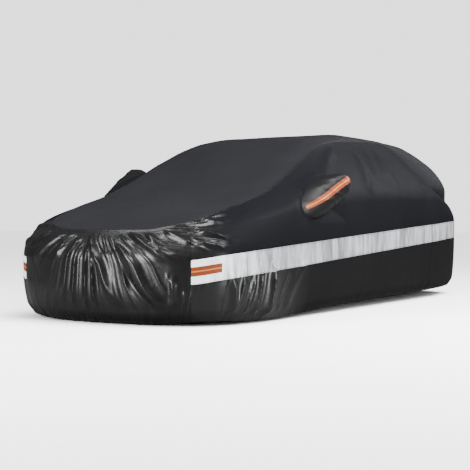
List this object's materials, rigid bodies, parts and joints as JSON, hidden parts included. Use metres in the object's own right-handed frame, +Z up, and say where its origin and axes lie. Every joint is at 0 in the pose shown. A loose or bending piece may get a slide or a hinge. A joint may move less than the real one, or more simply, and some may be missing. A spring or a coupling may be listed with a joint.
{
  "type": "car cover",
  "caption": "Fitted dark cloth cover for a compact five-door car, hollow and open below, with mirror pockets, a silver strip along each side and orange reflective tape.",
  "frame": {"origin": "under the cloth at the top of the roof, on the middle plane, where the car's roof carries the cover", "axes": "+X to the car's left side, -Y to its nose, +Z up"},
  "size_m": [1.9148, 4.3463, 1.3168],
  "materials": {
    "matte_cloth": "smooth matte charcoal polyester",
    "glossy_cloth": "glossy black coated polyester with creases",
    "side_cloth": "dark grey polyester with a slight sheen",
    "silver_strip": "silver coated reflective cloth, wrinkled",
    "reflective_tape": "orange tape with a pale line along its middle",
    "orange_patch": "orange reflective patch with a pale line"
  },
  "bodies": {
    "root": {"front_panel": "glossy_cloth", "mirror_pocket_left": "glossy_cloth", "mirror_pocket_right": "glossy_cloth", "mirror_tape_left": "reflective_tape", "mirror_tape_right": "reflective_tape", "patch_front_left": "orange_patch", "patch_front_right": "orange_patch", "patch_rear_left": "orange_patch", "patch_rear_right": "orange_patch", "rear_panel": "side_cloth", "skirt_left": "glossy_cloth", "skirt_right": "glossy_cloth", "strip_left": "silver_strip", "strip_right": "silver_strip", "top_panel": "matte_cloth", "upper_left": "side_cloth", "upper_right": "side_cloth"}
  },
  "joints": []
}
